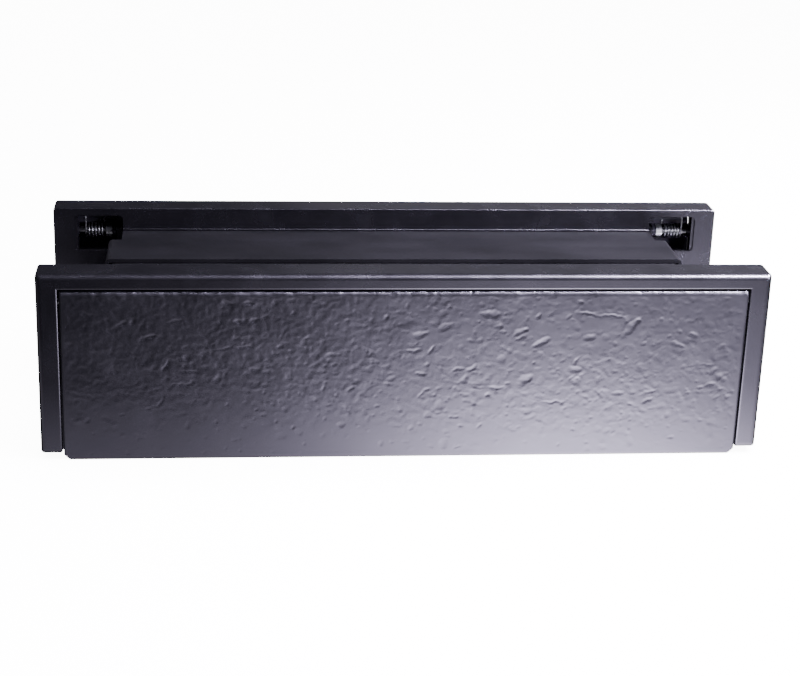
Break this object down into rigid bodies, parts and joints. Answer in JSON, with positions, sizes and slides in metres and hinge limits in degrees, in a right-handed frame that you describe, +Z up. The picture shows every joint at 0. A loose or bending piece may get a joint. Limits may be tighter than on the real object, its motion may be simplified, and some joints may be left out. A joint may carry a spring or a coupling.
{
  "type": "letter plate",
  "caption": "Sleeved door letter plate in satin black: a hammered, spring-closed flap in a U-shaped frame on each side, joined by a telescopic sleeve and long fixing bolts.",
  "frame": {"origin": "on the outer surface of the door, half way along and half way up the frame", "axes": "+Z up, +Y through the door towards the room, +X along the plate"},
  "size_m": [0.31, 0.1115, 0.0828],
  "materials": {
    "black_casting": "satin black powder coat with a faint violet tint",
    "sleeve_plastic": "moulded, smooth, satin",
    "gasket_foam": "closed-cell foam",
    "seal_rubber": "soft extruded rubber",
    "spring_steel": "oiled spring wire",
    "plated_steel": "bright zinc plate"
  },
  "bodies": {
    "outer": {"outer_frame": "black_casting", "outer_sleeve": "sleeve_plastic", "outer_gasket": "gasket_foam", "outer_hinge_pins": "plated_steel", "outer_pin_collars": "plated_steel", "outer_spring_left": "spring_steel", "outer_spring_right": "spring_steel", "outer_buffers": "seal_rubber", "fixing_pillars": "plated_steel"},
    "outer_flap": {"outer_flap": "black_casting", "outer_flap_seal": "seal_rubber"},
    "inner": {"inner_frame": "black_casting", "inner_sleeve": "sleeve_plastic", "inner_hinge_pins": "plated_steel", "inner_pin_collars": "plated_steel", "inner_spring_left": "spring_steel", "inner_spring_right": "spring_steel", "inner_buffers": "seal_rubber", "fixing_bolts": "plated_steel", "bolt_washers": "plated_steel"},
    "inner_flap": {"inner_flap": "black_casting", "inner_flap_seal": "seal_rubber"}
  },
  "joints": [
    {"name": "outer_flap_hinge", "type": "hinge", "parent": "outer", "child": "outer_flap", "pos_m": [0, -0.0107, 0.027], "axis": [-1, 0, 0], "range_deg": [0, 90], "stiffness_Nm_per_rad": 0.1, "springref_deg": -34.38, "deforming": ["outer_spring_left", "outer_spring_right"]},
    {"name": "telescope", "type": "slide", "parent": "outer", "child": "inner", "axis": [0, 1, 0], "range_m": [-0.036, 0]},
    {"name": "inner_flap_hinge", "type": "hinge", "parent": "inner", "child": "inner_flap", "pos_m": [0, 0.0892, 0.027], "axis": [1, 0, 0], "range_deg": [0, 90], "stiffness_Nm_per_rad": 0.1, "springref_deg": -34.38, "deforming": ["inner_spring_left", "inner_spring_right"]}
  ]
}
